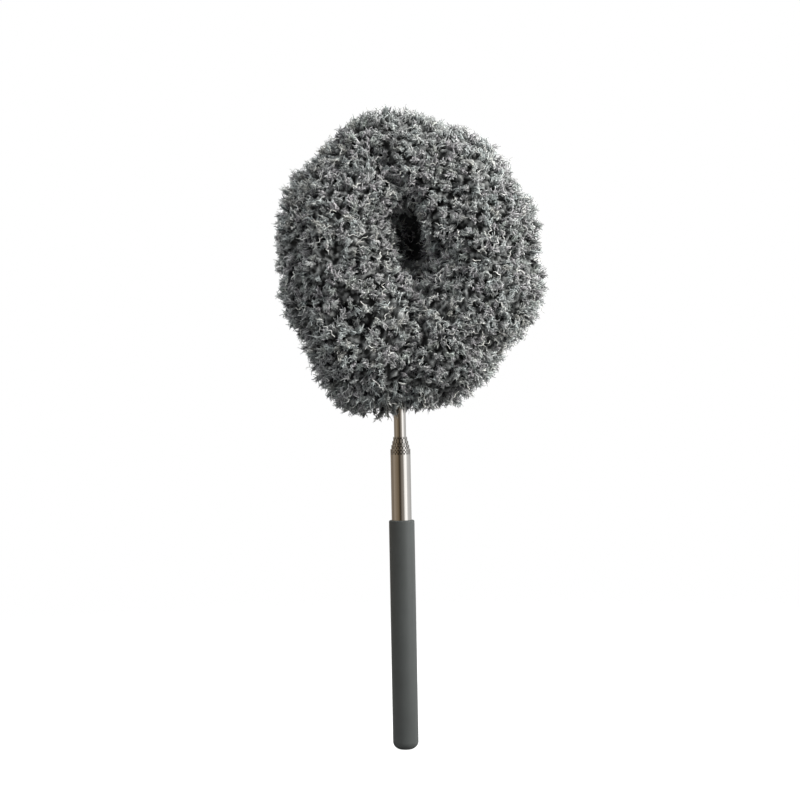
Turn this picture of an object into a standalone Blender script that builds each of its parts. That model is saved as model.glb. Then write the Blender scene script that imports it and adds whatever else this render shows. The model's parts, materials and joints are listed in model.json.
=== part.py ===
"""Telescopic duster: a five-tube friction pole with a hand grip, and a pile-covered wire loop head.

The handle's flat end is at the origin and the pole runs up +Z. The head's loop lies in the XZ plane.
All tubes are pushed in. Run with: blender --background --python part.py
"""

import math

import bmesh
import bpy
from mathutils import Matrix, Vector, geometry

MM = 0.001
TURN = 2 * math.pi

# Gaps
SEAT_GAP = 0.3 * MM  # between faces that touch on the real object
SLIDE_GAP = 0.12 * MM  # radial, where a tube runs in the mouth of the next
SLEEVE_GAP = 0.05 * MM  # radial, each side of a friction sleeve

# Pole
TUBE_COUNT = 5
TUBE_1_RADIUS = 9.0 * MM
TUBE_RADIUS_STEP = 0.9 * MM
TUBE_WALL = 0.4 * MM
MOUTH_HEIGHT = 3.6 * MM  # the rolled-in, dimpled end of each tube, and the step between them
MOUTH_EDGE = 0.25 * MM
TUBE_1_BOTTOM = 7.3 * MM
TUBE_1_TOP = 270.0 * MM
TUBE_5_TOP = 318.0 * MM
STOP_LIP_HEIGHT = 0.5 * MM
PLUG_TOP = 20.0 * MM

# Friction sleeves
SLEEVE_HEIGHT = 12.0 * MM
BEAD_HEIGHT = 0.8 * MM
SLEEVE_SLOT_SIDES = 2  # of ROUND_SIDES

# Grip
GRIP_RADIUS = 11.5 * MM
GRIP_TOP = 206.0 * MM
GRIP_END_FLAT_RADIUS = 4.0 * MM
GRIP_END_ROUND_HEIGHT = 7.0 * MM
GRIP_TOP_EDGE = 1.0 * MM
GRIP_FLOOR = 5.4 * MM
GRIP_BORE_GAP = 0.15 * MM

# Threaded tip and its bush
STUD_CORE_RADIUS = 3.5 * MM
STUD_CREST_RADIUS = 4.0 * MM
THREAD_PITCH = 2.0 * MM
THREAD_TURNS = 5
TIP_FLANGE_RADIUS = 5.9 * MM
TIP_FLANGE_HEIGHT = 1.5 * MM
TIP_CORE_LENGTH = 12.0 * MM
BUSH_RADIUS = 6.5 * MM
BUSH_BORE_RADIUS = 4.15 * MM
BUSH_HEIGHT = 11.6 * MM

# Head socket
SOCKET_RADIUS = 10.0 * MM
SOCKET_NECK_RADIUS = 8.6 * MM
SOCKET_HEIGHT = 34.0 * MM
SOCKET_FLOOR = 1.0 * MM
SOCKET_MOUTH_RADIUS = 4.7 * MM
SCREW_RADIUS = 0.9 * MM
SCREW_HEAD_RADIUS = 1.9 * MM
SCREW_HEAD_HEIGHT = 1.4 * MM
SCREW_HEAD_DEPTH = 8.6 * MM  # how far in front of the pole's axis the head's outer face is
SCREW_LENGTH = 14.0 * MM
SCREW_POINT_LENGTH = 1.2 * MM
SCREW_GAP = 0.2 * MM  # radial, round its head and shank

# Wire loop
WIRE_RADIUS = 1.0 * MM
WIRE_LEG_OFFSET = 4.0 * MM
FERRULE_RADIUS = 2.2 * MM
FERRULE_HEIGHT = 7.0 * MM
SHEATH_RADIUS = 2.2 * MM
SHEATH_WALL = 0.85 * MM
LOOP_CENTRE = Vector((10.2 * MM, 0.0, 438.0 * MM))
LOOP_HALF_WIDTH = 67.0 * MM
LOOP_HALF_HEIGHT = 77.0 * MM
LOOP_LEFT_JOIN = math.radians(-90 - 40)  # where the legs' curves meet the ellipse
LOOP_RIGHT_JOIN = math.radians(-90 + 32)
LOOP_STATIONS = 36
LEG_STATIONS = 7

# Cover
BACKING_RADIUS = 9.0 * MM
BACKING_WALL = 1.6 * MM
PILE_MAJOR_RADIUS = 70.5 * MM
PILE_RADIUS = 58.5 * MM
PILE_HALF_WIDTH = 122.5 * MM
PILE_HALF_HEIGHT = 136.5 * MM
PILE_MOUTH_RADIUS = 13.5 * MM
BAND_HEIGHT = 6.0 * MM
BAND_WALL = 1.6 * MM
BAND_ABOVE_SOCKET_FOOT = 8.0 * MM

# Mesh fineness
ROUND_SIDES = 24
SMALL_SIDES = 12
WIRE_SIDES = 8
COVER_SIDES = 10
PILE_STATIONS = 36
PILE_SIDES = 16


def tube_radius(number):
    return TUBE_1_RADIUS - TUBE_RADIUS_STEP * (number - 1)


def tube_bottom(number):
    if number == 1:
        return TUBE_1_BOTTOM
    return PLUG_TOP + SEAT_GAP + (STOP_LIP_HEIGHT + SEAT_GAP) * (number - 2)


def tube_top(number):
    if number == TUBE_COUNT:
        return TUBE_5_TOP
    return TUBE_1_TOP + MOUTH_HEIGHT * (number - 1)


TIP_FLANGE_TOP = TUBE_5_TOP + SEAT_GAP + TIP_FLANGE_HEIGHT
SOCKET_FOOT = TIP_FLANGE_TOP + SEAT_GAP
SOCKET_TOP = SOCKET_FOOT + SOCKET_HEIGHT
BUSH_FOOT = SOCKET_FOOT + SOCKET_FLOOR + SEAT_GAP
BUSH_TOP = BUSH_FOOT + BUSH_HEIGHT
LOWER_SCREW_Z = BUSH_TOP + SEAT_GAP + 3.0 * MM
FERRULE_FOOT = LOWER_SCREW_Z + 3.0 * MM
FERRULE_TOP = FERRULE_FOOT + FERRULE_HEIGHT
UPPER_SCREW_Z = FERRULE_TOP + SEAT_GAP + 3.0 * MM


# ---------------------------------------------------------------- scene and materials


def clear_scene():
    for item in list(bpy.data.objects):
        bpy.data.objects.remove(item, do_unlink=True)


def make_material(name, colour, roughness, metallic=0.0):
    material = bpy.data.materials.new(name)
    material.use_nodes = True
    shader = material.node_tree.nodes["Principled BSDF"]
    shader.inputs["Base Color"].default_value = (*colour, 1.0)
    shader.inputs["Roughness"].default_value = roughness
    shader.inputs["Metallic"].default_value = metallic
    return material


def add_object(name, mesh_builder, material, smooth=True):
    """Turns a closed bmesh into a named object and frees the bmesh."""
    bmesh.ops.remove_doubles(mesh_builder, verts=mesh_builder.verts, dist=0.001 * MM)
    bmesh.ops.recalc_face_normals(mesh_builder, faces=mesh_builder.faces)
    mesh = bpy.data.meshes.new(name)
    mesh_builder.to_mesh(mesh)
    mesh_builder.free()
    if smooth:
        mesh.shade_smooth()
        mesh.set_sharp_from_angle(angle=math.radians(35))
    mesh.materials.append(material)
    piece = bpy.data.objects.new(name, mesh)
    bpy.context.scene.collection.objects.link(piece)
    return piece


def add_cutter(name, mesh_builder):
    cutter = add_object(name, mesh_builder, None, smooth=False)
    cutter.hide_render = True
    cutter.display_type = "WIRE"
    return cutter


def cut(piece, cutter, operation="DIFFERENCE"):
    modifier = piece.modifiers.new(cutter.name, "BOOLEAN")
    modifier.operation = operation
    modifier.object = cutter
    modifier.solver = "EXACT"


# ---------------------------------------------------------------- shape helpers


def arc(centre, radii, start_degrees, end_degrees, steps):
    """Points of an elliptical arc in the (radius, height) plane, both ends included."""
    points = []
    for step in range(steps + 1):
        angle = math.radians(start_degrees + (end_degrees - start_degrees) * step / steps)
        points.append((centre[0] + radii[0] * math.cos(angle), centre[1] + radii[1] * math.sin(angle)))
    return points


def turn_profile(points, sides=ROUND_SIDES, slot_sides=0):
    """Spins (radius, height) points about Z. A profile whose ends are off the axis is closed first.

    slot_sides of the sides are left out as a slot, and its two end faces are filled.
    """
    builder = bmesh.new()
    verts = [builder.verts.new((radius, 0.0, height)) for radius, height in points]
    edges = [builder.edges.new(pair) for pair in zip(verts, verts[1:])]
    touches_axis = points[0][0] < 0.001 * MM
    if not touches_axis:
        edges.append(builder.edges.new((verts[-1], verts[0])))
    bmesh.ops.spin(
        builder,
        geom=verts + edges,
        axis=(0, 0, 1),
        cent=(0, 0, 0),
        angle=TURN * (sides - slot_sides) / sides,
        steps=sides - slot_sides,
        use_merge=slot_sides == 0,
    )
    bmesh.ops.remove_doubles(builder, verts=builder.verts, dist=0.001 * MM)
    if slot_sides:
        rim = [edge for edge in builder.edges if edge.is_boundary]
        bmesh.ops.holes_fill(builder, edges=rim, sides=0)
    return builder


def cylinder_builder(radius, start, end, sides=ROUND_SIDES):
    """A solid cylinder between two points."""
    start, end = Vector(start), Vector(end)
    along = end - start
    builder = bmesh.new()
    turn = along.to_track_quat("Z", "Y").to_matrix().to_4x4()
    bmesh.ops.create_cone(
        builder,
        cap_ends=True,
        segments=sides,
        radius1=radius,
        radius2=radius,
        depth=along.length,
        matrix=Matrix.Translation((start + end) / 2) @ turn,
    )
    return builder


def add_rings(builder, path, radius, sides):
    """One circle of edges square to the path at each of its points. Returns each circle's edges."""
    rings = []
    for index, point in enumerate(path):
        before = path[max(index - 1, 0)]
        after = path[min(index + 1, len(path) - 1)]
        along = (after - before).normalized()
        across = Vector((0, 1, 0))
        inward = across.cross(along)
        place = Matrix.Translation(point) @ Matrix((inward, across, along)).transposed().to_4x4()
        made = bmesh.ops.create_circle(builder, segments=sides, radius=radius, matrix=place)
        rings.append(list({edge for vert in made["verts"] for edge in vert.link_edges}))
    return rings


def join_rings(builder, rings):
    for first, second in zip(rings, rings[1:]):
        bmesh.ops.bridge_loops(builder, edges=first + second)


def rod_builder(path, radius, sides):
    """A solid round rod along a path in the XZ plane."""
    builder = bmesh.new()
    rings = add_rings(builder, path, radius, sides)
    join_rings(builder, rings)
    bmesh.ops.holes_fill(builder, edges=rings[0] + rings[-1], sides=0)
    return builder


def add_hose(name, path, radius, wall, sides, material):
    """A round hose along a path in the XZ plane, open at both ends, its wall inside its radius."""
    builder = bmesh.new()
    join_rings(builder, add_rings(builder, path, radius, sides))
    hose = add_object(name, builder, material)
    modifier = hose.modifiers.new("wall", "SOLIDIFY")
    modifier.thickness = wall
    modifier.offset = -1
    modifier.use_even_offset = True


# ---------------------------------------------------------------- the loop's centre line


def loop_point(angle):
    return LOOP_CENTRE + Vector(
        (LOOP_HALF_WIDTH * math.cos(angle), 0.0, LOOP_HALF_HEIGHT * math.sin(angle))
    )


def loop_heading(angle):
    """Direction of travel clockwise round the ellipse, seen from the front."""
    heading = Vector((LOOP_HALF_WIDTH * math.sin(angle), 0.0, -LOOP_HALF_HEIGHT * math.cos(angle)))
    return heading.normalized()


def leg_curve(foot, join_angle, heading_sign):
    """Curve from the socket's top, leaving straight up, to where it meets the ellipse."""
    join = loop_point(join_angle)
    reach = (join - foot).length * 0.42
    return geometry.interpolate_bezier(
        foot,
        foot + Vector((0, 0, reach)),
        join - heading_sign * loop_heading(join_angle) * reach,
        join,
        LEG_STATIONS,
    )


def loop_path():
    """The wire's centre line from the left leg's foot on the socket, round to the right leg's."""
    left_foot = Vector((-WIRE_LEG_OFFSET, 0, SOCKET_TOP + SEAT_GAP))
    right_foot = Vector((WIRE_LEG_OFFSET, 0, SOCKET_TOP + SEAT_GAP))
    left_leg = leg_curve(left_foot, LOOP_LEFT_JOIN, 1)
    right_leg = leg_curve(right_foot, LOOP_RIGHT_JOIN, -1)
    sweep = LOOP_RIGHT_JOIN - (LOOP_LEFT_JOIN + TURN)
    ellipse = [
        loop_point(LOOP_LEFT_JOIN + TURN + sweep * step / LOOP_STATIONS)
        for step in range(1, LOOP_STATIONS)
    ]
    return left_leg + ellipse + list(reversed(right_leg))


# ---------------------------------------------------------------- pole


def build_grip(material):
    rounding = arc(
        (GRIP_END_FLAT_RADIUS, GRIP_END_ROUND_HEIGHT),
        (GRIP_RADIUS - GRIP_END_FLAT_RADIUS, GRIP_END_ROUND_HEIGHT),
        -90,
        0,
        6,
    )
    top_edge = arc(
        (GRIP_RADIUS - GRIP_TOP_EDGE, GRIP_TOP - GRIP_TOP_EDGE), (GRIP_TOP_EDGE, GRIP_TOP_EDGE), 0, 90, 3
    )
    bore = TUBE_1_RADIUS + GRIP_BORE_GAP
    profile = [(0, 0)] + rounding + top_edge + [(bore, GRIP_TOP), (bore, GRIP_FLOOR), (0, GRIP_FLOOR)]
    add_object("grip_sleeve", turn_profile(profile), material)


def build_end_plug(material):
    flange_foot = GRIP_FLOOR + SEAT_GAP
    flange_top = TUBE_1_BOTTOM - SEAT_GAP
    body = TUBE_1_RADIUS - TUBE_WALL - SLEEVE_GAP
    profile = [
        (0, flange_foot),
        (TUBE_1_RADIUS, flange_foot),
        (TUBE_1_RADIUS, flange_top),
        (body, flange_top),
        (body, PLUG_TOP),
        (0, PLUG_TOP),
    ]
    add_object("tube_end_plug", turn_profile(profile), material)


def tube_profile(number):
    """Section of one tube: stop lip and sleeve seat at the foot, rolled-in mouth at the top."""
    radius = tube_radius(number)
    bore = radius - TUBE_WALL
    foot, top = tube_bottom(number), tube_top(number)
    outside = [(radius, foot)]
    if number > 1:
        swell = radius + TUBE_RADIUS_STEP - TUBE_WALL - 3 * SLEEVE_GAP
        sleeve_foot = foot + STOP_LIP_HEIGHT
        sleeve_top = sleeve_foot + SLEEVE_HEIGHT + 2 * SEAT_GAP
        outside = [
            (swell, foot),
            (swell, sleeve_foot),
            (radius, sleeve_foot),
            (radius, sleeve_top),
            (swell, sleeve_top),
            (swell, sleeve_top + BEAD_HEIGHT),
            (radius, sleeve_top + BEAD_HEIGHT + SEAT_GAP),
        ]
    if number == TUBE_COUNT:
        return outside + [(radius, top), (bore, top), (bore, foot)]
    next_radius = tube_radius(number + 1)
    mouth = next_radius + SLIDE_GAP
    inside = [
        (radius - MOUTH_EDGE, top),
        (mouth, top),
        (mouth, top - MOUTH_HEIGHT),
        (bore, top - MOUTH_HEIGHT - MOUTH_EDGE),
    ]
    if number == 1:
        inside.append((bore, foot))
    else:
        lip = next_radius - TUBE_WALL
        inside += [(bore, foot + STOP_LIP_HEIGHT), (lip, foot + STOP_LIP_HEIGHT), (lip, foot)]
    return outside + [(radius, top - MOUTH_EDGE)] + inside


def build_tubes(material):
    for number in range(1, TUBE_COUNT + 1):
        add_object(f"tube_{number}", turn_profile(tube_profile(number)), material)


def build_friction_sleeves(material):
    """Split sleeve round the foot of each inner tube, between its foot flange and its bead."""
    for number in range(2, TUBE_COUNT + 1):
        inner = tube_radius(number) + SLEEVE_GAP
        outer = tube_radius(number - 1) - TUBE_WALL - SLEEVE_GAP
        foot = tube_bottom(number) + STOP_LIP_HEIGHT + SEAT_GAP
        top = foot + SLEEVE_HEIGHT
        profile = [(inner, foot), (outer, foot), (outer, top), (inner, top)]
        builder = turn_profile(profile, slot_sides=SLEEVE_SLOT_SIDES)
        add_object(f"friction_sleeve_{number}", builder, material)


def build_tip_insert(material):
    core = tube_radius(TUBE_COUNT) - TUBE_WALL - SLEEVE_GAP
    flange_foot = TUBE_5_TOP + SEAT_GAP
    profile = [
        (0, TUBE_5_TOP - TIP_CORE_LENGTH),
        (core, TUBE_5_TOP - TIP_CORE_LENGTH),
        (core, flange_foot),
        (TIP_FLANGE_RADIUS, flange_foot),
        (TIP_FLANGE_RADIUS, TIP_FLANGE_TOP),
        (STUD_CORE_RADIUS, TIP_FLANGE_TOP),
    ]
    thread_foot = TIP_FLANGE_TOP + THREAD_PITCH
    for turn in range(THREAD_TURNS):
        ridge_foot = thread_foot + THREAD_PITCH * turn
        profile += [(STUD_CORE_RADIUS, ridge_foot), (STUD_CREST_RADIUS, ridge_foot + THREAD_PITCH / 2)]
    stud_top = thread_foot + THREAD_PITCH * THREAD_TURNS
    profile += [(STUD_CORE_RADIUS, stud_top), (0, stud_top)]
    add_object("tip_insert", turn_profile(profile), material)


# ---------------------------------------------------------------- head socket


def build_thread_bush(material):
    profile = [
        (BUSH_BORE_RADIUS, BUSH_FOOT),
        (BUSH_RADIUS, BUSH_FOOT),
        (BUSH_RADIUS, BUSH_TOP),
        (BUSH_BORE_RADIUS, BUSH_TOP),
    ]
    add_object("thread_bush", turn_profile(profile), material)


def socket_body_builder():
    shoulder = arc((SOCKET_RADIUS - 2 * MM, SOCKET_TOP - 2 * MM), (2 * MM, 2 * MM), 0, 90, 3)
    profile = [
        (0, SOCKET_FOOT),
        (SOCKET_NECK_RADIUS, SOCKET_FOOT),
        (SOCKET_RADIUS, SOCKET_FOOT + 5 * MM),
    ]
    return turn_profile(profile + shoulder + [(0, SOCKET_TOP)])


def socket_cutters():
    """What is taken out of the socket: bush pocket, wire holes, ferrule pockets and screw holes."""
    pocket = BUSH_RADIUS + SEAT_GAP
    profile = [
        (0, SOCKET_FOOT - MM),
        (SOCKET_MOUTH_RADIUS, SOCKET_FOOT - MM),
        (SOCKET_MOUTH_RADIUS, SOCKET_FOOT + SOCKET_FLOOR),
        (pocket, SOCKET_FOOT + SOCKET_FLOOR),
        (pocket, BUSH_TOP + SEAT_GAP),
        (0, BUSH_TOP + SEAT_GAP),
    ]
    cutters = [add_cutter("cut_bush_pocket", turn_profile(profile))]
    for side, name in ((-1, "left"), (1, "right")):
        x = side * WIRE_LEG_OFFSET
        pocket_builder = cylinder_builder(
            FERRULE_RADIUS + SEAT_GAP,
            (x, 0, FERRULE_FOOT - SEAT_GAP),
            (x, 0, FERRULE_TOP + SEAT_GAP),
            SMALL_SIDES,
        )
        hole_builder = cylinder_builder(
            WIRE_RADIUS + SEAT_GAP, (x, 0, FERRULE_TOP), (x, 0, SOCKET_TOP + MM), SMALL_SIDES
        )
        cutters.append(add_cutter(f"cut_ferrule_{name}", pocket_builder))
        cutters.append(add_cutter(f"cut_wire_{name}", hole_builder))
    for z, name in ((LOWER_SCREW_Z, "lower"), (UPPER_SCREW_Z, "upper")):
        head_back = -SCREW_HEAD_DEPTH + SCREW_HEAD_HEIGHT + SEAT_GAP
        hole_end = -SCREW_HEAD_DEPTH + SCREW_LENGTH + SEAT_GAP
        seat_builder = cylinder_builder(
            SCREW_HEAD_RADIUS + SCREW_GAP,
            (0, -2 * SOCKET_RADIUS, z),
            (0, head_back, z),
            SMALL_SIDES,
        )
        hole_builder = cylinder_builder(
            SCREW_RADIUS + SCREW_GAP, (0, head_back - MM, z), (0, hole_end, z), SMALL_SIDES
        )
        cutters.append(add_cutter(f"cut_screw_seat_{name}", seat_builder))
        cutters.append(add_cutter(f"cut_screw_hole_{name}", hole_builder))
    return cutters


def build_socket_shells(material):
    cutters = socket_cutters()
    for side, name in ((-1, "front"), (1, "rear")):
        shell = add_object(f"socket_{name}_shell", socket_body_builder(), material)
        for cutter in cutters:
            cut(shell, cutter)
        block = bmesh.new()
        depth = 2 * SOCKET_RADIUS
        near = side * SEAT_GAP / 2
        centre = Vector((0, near - side * depth / 2, (SOCKET_FOOT + SOCKET_TOP) / 2))
        size = Matrix.Diagonal((4 * SOCKET_RADIUS, depth, 2 * SOCKET_HEIGHT, 1))
        bmesh.ops.create_cube(block, size=1.0, matrix=Matrix.Translation(centre) @ size)
        cut(shell, add_cutter(f"cut_{name}_half", block))


def build_screws(material):
    for z, name in ((LOWER_SCREW_Z, "lower"), (UPPER_SCREW_Z, "upper")):
        profile = [
            (0, 0),
            (SCREW_HEAD_RADIUS, 0),
            (SCREW_HEAD_RADIUS, SCREW_HEAD_HEIGHT),
            (SCREW_RADIUS, SCREW_HEAD_HEIGHT),
            (SCREW_RADIUS, SCREW_LENGTH - SCREW_POINT_LENGTH),
            (0, SCREW_LENGTH),
        ]
        screw = add_object(f"socket_screw_{name}", turn_profile(profile, SMALL_SIDES), material)
        screw.rotation_euler = (math.radians(-90), 0, 0)
        screw.location = (0, -SCREW_HEAD_DEPTH, z)


# ---------------------------------------------------------------- wire loop and cover


def build_wire(material, path):
    left_end = Vector((-WIRE_LEG_OFFSET, 0, FERRULE_FOOT))
    right_end = Vector((WIRE_LEG_OFFSET, 0, FERRULE_FOOT))
    builder = rod_builder([left_end] + path + [right_end], WIRE_RADIUS, WIRE_SIDES)
    add_object("wire_loop", builder, material)


def build_ferrules(material):
    bore = WIRE_RADIUS + 2 * SLEEVE_GAP
    for side, name in ((-1, "left"), (1, "right")):
        profile = [
            (bore, FERRULE_FOOT),
            (FERRULE_RADIUS, FERRULE_FOOT),
            (FERRULE_RADIUS, FERRULE_TOP),
            (bore, FERRULE_TOP),
        ]
        ferrule = add_object(f"wire_ferrule_{name}", turn_profile(profile, SMALL_SIDES), material)
        ferrule.location = (side * WIRE_LEG_OFFSET, 0, 0)


def build_sheath(material, path):
    add_hose("loop_sheath", path[1:-1], SHEATH_RADIUS, SHEATH_WALL, WIRE_SIDES, material)


def covered_path(path, clear):
    """The part of the loop where its two legs are far enough apart to wear the cover."""
    half = len(path) // 2
    start = next(i for i in range(half) if path[i].x < -clear)
    end = next(i for i in range(len(path) - 1, half, -1) if path[i].x > clear)
    return path[start : end + 1]


def build_backing(material, path):
    sleeve = covered_path(path, BACKING_RADIUS + 2 * MM)
    add_hose("cover_backing", sleeve, BACKING_RADIUS, BACKING_WALL, COVER_SIDES, material)


def pile_ring_builder():
    """A torus in the XZ plane, stretched to the head's width and height."""
    builder = bmesh.new()
    section = []
    for side in range(PILE_SIDES):
        angle = TURN * side / PILE_SIDES
        radius = PILE_MAJOR_RADIUS + PILE_RADIUS * math.cos(angle)
        section.append(builder.verts.new((radius, PILE_RADIUS * math.sin(angle), 0)))
    edges = [
        builder.edges.new((section[side], section[(side + 1) % PILE_SIDES])) for side in range(PILE_SIDES)
    ]
    bmesh.ops.spin(
        builder,
        geom=section + edges,
        axis=(0, 1, 0),
        cent=(0, 0, 0),
        angle=TURN,
        steps=PILE_STATIONS,
        use_merge=True,
    )
    reach = PILE_MAJOR_RADIUS + PILE_RADIUS
    stretch = Matrix.Diagonal((PILE_HALF_WIDTH / reach, 1, PILE_HALF_HEIGHT / reach, 1))
    bmesh.ops.transform(builder, matrix=Matrix.Translation(LOOP_CENTRE) @ stretch, verts=builder.verts)
    return builder


def build_pile(material, path):
    """The pile as one soft ring, hollow where the backing runs and open below for the socket."""
    pile = add_object("cover_pile", pile_ring_builder(), material)
    gap = BACKING_RADIUS + SEAT_GAP
    sleeve = covered_path(path, BACKING_RADIUS + 2 * MM)
    cut(pile, add_cutter("cut_backing_bore", rod_builder(sleeve, gap, COVER_SIDES)))
    crotch = bmesh.new()
    foot = SOCKET_TOP - 4 * MM
    top = max(sleeve[0].z, sleeve[-1].z) + BACKING_RADIUS
    centre = Vector(((sleeve[0].x + sleeve[-1].x) / 2, 0, (foot + top) / 2))
    width = sleeve[-1].x - sleeve[0].x + BACKING_RADIUS
    size = Matrix.Diagonal((width, 1.8 * BACKING_RADIUS, top - foot, 1))
    bmesh.ops.create_cube(crotch, size=1.0, matrix=Matrix.Translation(centre) @ size)
    cut(pile, add_cutter("cut_crotch", crotch))
    mouth = cylinder_builder(PILE_MOUTH_RADIUS, (0, 0, GRIP_TOP), (0, 0, SOCKET_TOP + 2 * MM))
    cut(pile, add_cutter("cut_pile_mouth", mouth))


def build_band(material):
    inner = SOCKET_RADIUS + SEAT_GAP
    foot = SOCKET_FOOT + BAND_ABOVE_SOCKET_FOOT
    top = foot + BAND_HEIGHT
    profile = [(inner, foot), (inner + BAND_WALL, foot), (inner + BAND_WALL, top), (inner, top)]
    add_object("closure_band", turn_profile(profile), material)


def main():
    clear_scene()
    steel = make_material("polished_steel", (0.72, 0.70, 0.67), 0.14, 1.0)
    wire_steel = make_material("spring_steel", (0.45, 0.44, 0.42), 0.35, 1.0)
    bronze = make_material("phosphor_bronze", (0.56, 0.33, 0.14), 0.35, 1.0)
    grip = make_material("grip_rubber", (0.13, 0.15, 0.14), 0.75)
    black = make_material("moulded_plastic", (0.03, 0.03, 0.032), 0.5)
    sheath = make_material("sheath_plastic", (0.45, 0.46, 0.47), 0.3)
    knit = make_material("knitted_backing", (0.10, 0.10, 0.105), 0.9)
    pile = make_material("yarn_pile", (0.28, 0.285, 0.28), 0.95)
    elastic = make_material("elastic_band", (0.08, 0.08, 0.085), 0.9)

    build_grip(grip)
    build_end_plug(black)
    build_tubes(steel)
    build_friction_sleeves(bronze)
    build_tip_insert(black)
    build_thread_bush(black)
    build_socket_shells(black)
    build_screws(wire_steel)

    path = loop_path()
    build_wire(wire_steel, path)
    build_ferrules(wire_steel)
    build_sheath(sheath, path)
    build_backing(knit, path)
    build_pile(pile, path)
    build_band(elastic)


if __name__ == "__main__":
    main()
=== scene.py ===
"""Looks of the telescopic duster: fine steel tubes, hand grip, socket, wire loop and yarn pile.

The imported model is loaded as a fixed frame, and every piece here takes its place and size from it.
"""

import json
import math
import random

import bmesh
import bpy
from bpy.props import FloatProperty, FloatVectorProperty, IntProperty, PointerProperty
from mathutils import Matrix, Vector, noise

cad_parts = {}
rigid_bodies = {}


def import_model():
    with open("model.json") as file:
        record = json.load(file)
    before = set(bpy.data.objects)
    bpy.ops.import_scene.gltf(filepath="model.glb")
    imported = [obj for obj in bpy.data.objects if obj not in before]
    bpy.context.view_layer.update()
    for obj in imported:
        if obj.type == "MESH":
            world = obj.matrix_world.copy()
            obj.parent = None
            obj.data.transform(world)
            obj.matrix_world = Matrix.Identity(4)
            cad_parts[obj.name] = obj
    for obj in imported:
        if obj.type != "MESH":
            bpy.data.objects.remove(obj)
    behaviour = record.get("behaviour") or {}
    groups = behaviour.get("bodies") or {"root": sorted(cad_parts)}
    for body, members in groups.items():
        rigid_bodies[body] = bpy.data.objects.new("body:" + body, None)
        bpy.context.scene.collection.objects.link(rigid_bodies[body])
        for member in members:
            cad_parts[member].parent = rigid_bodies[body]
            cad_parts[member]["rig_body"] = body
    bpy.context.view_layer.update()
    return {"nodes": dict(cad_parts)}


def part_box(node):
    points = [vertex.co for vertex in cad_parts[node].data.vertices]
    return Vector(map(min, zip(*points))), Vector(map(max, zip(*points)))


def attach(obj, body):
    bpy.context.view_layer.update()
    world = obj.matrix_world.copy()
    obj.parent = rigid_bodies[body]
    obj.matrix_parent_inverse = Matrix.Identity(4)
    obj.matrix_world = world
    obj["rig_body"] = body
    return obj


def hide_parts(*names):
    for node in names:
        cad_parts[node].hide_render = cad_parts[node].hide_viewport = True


bl_info = {
    "name": "Telescopic duster",
    "version": (1, 0, 0),
    "blender": (4, 5, 0),
    "location": "3D Viewport > Sidebar > Duster",
    "description": "Builds the finished look of a telescopic duster on its packed frame",
    "category": "Object",
}

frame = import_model()

MM = 0.001
TURN = 2 * math.pi
UP = Vector((0, 0, 1))
TUBE_COUNT = 5
MERGE = 0.001 * MM  # points closer than this are one
SEAT_GAP = 0.3 * MM  # past each end of a friction sleeve or plug in its seat
SLIDE_GAP = 0.12 * MM  # between a tube and the mouth that it runs in
MOUTH_LIP = 0.42 * MM  # radius of a tube's rolled edge
STOP_HEIGHT = 0.5 * MM  # of the inner stop at a tube's foot
ROUND_SIDES = 96


# ---------------------------------------------------------------- settings


class PoleSettings(bpy.types.PropertyGroup):
    steel_colour: FloatVectorProperty(
        name="Steel",
        description="Colour of the polished tubes",
        subtype="COLOR",
        default=(0.70, 0.68, 0.65),
    )
    radius_step: FloatProperty(
        name="Radius step",
        description="How much thinner each tube is than the one outside it",
        default=0.9 * MM,
        unit="LENGTH",
    )
    wall: FloatProperty(
        name="Wall", description="Tube wall thickness", default=0.4 * MM, unit="LENGTH"
    )
    mouth_height: FloatProperty(
        name="Mouth height",
        description="Height of each tube's rolled-in, dimpled end",
        default=3.6 * MM,
        unit="LENGTH",
    )
    dimple_pitch: FloatProperty(
        name="Dimple pitch",
        description="Spacing of the punched dimples round a mouth",
        default=2.8 * MM,
        unit="LENGTH",
    )
    dimple_depth: FloatProperty(
        name="Dimple depth",
        description="Depth of a punched dimple",
        default=0.28 * MM,
        unit="LENGTH",
    )


class GripSettings(bpy.types.PropertyGroup):
    colour: FloatVectorProperty(
        name="Grip",
        description="Colour of the hand grip",
        subtype="COLOR",
        default=(0.047, 0.051, 0.050),
    )
    end_flat: FloatProperty(
        name="End flat",
        description="Radius of the flat on the grip's end",
        default=4.0 * MM,
        unit="LENGTH",
    )
    end_round: FloatProperty(
        name="End rounding",
        description="Height of the grip's rounded end",
        default=7.0 * MM,
        unit="LENGTH",
    )


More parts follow.
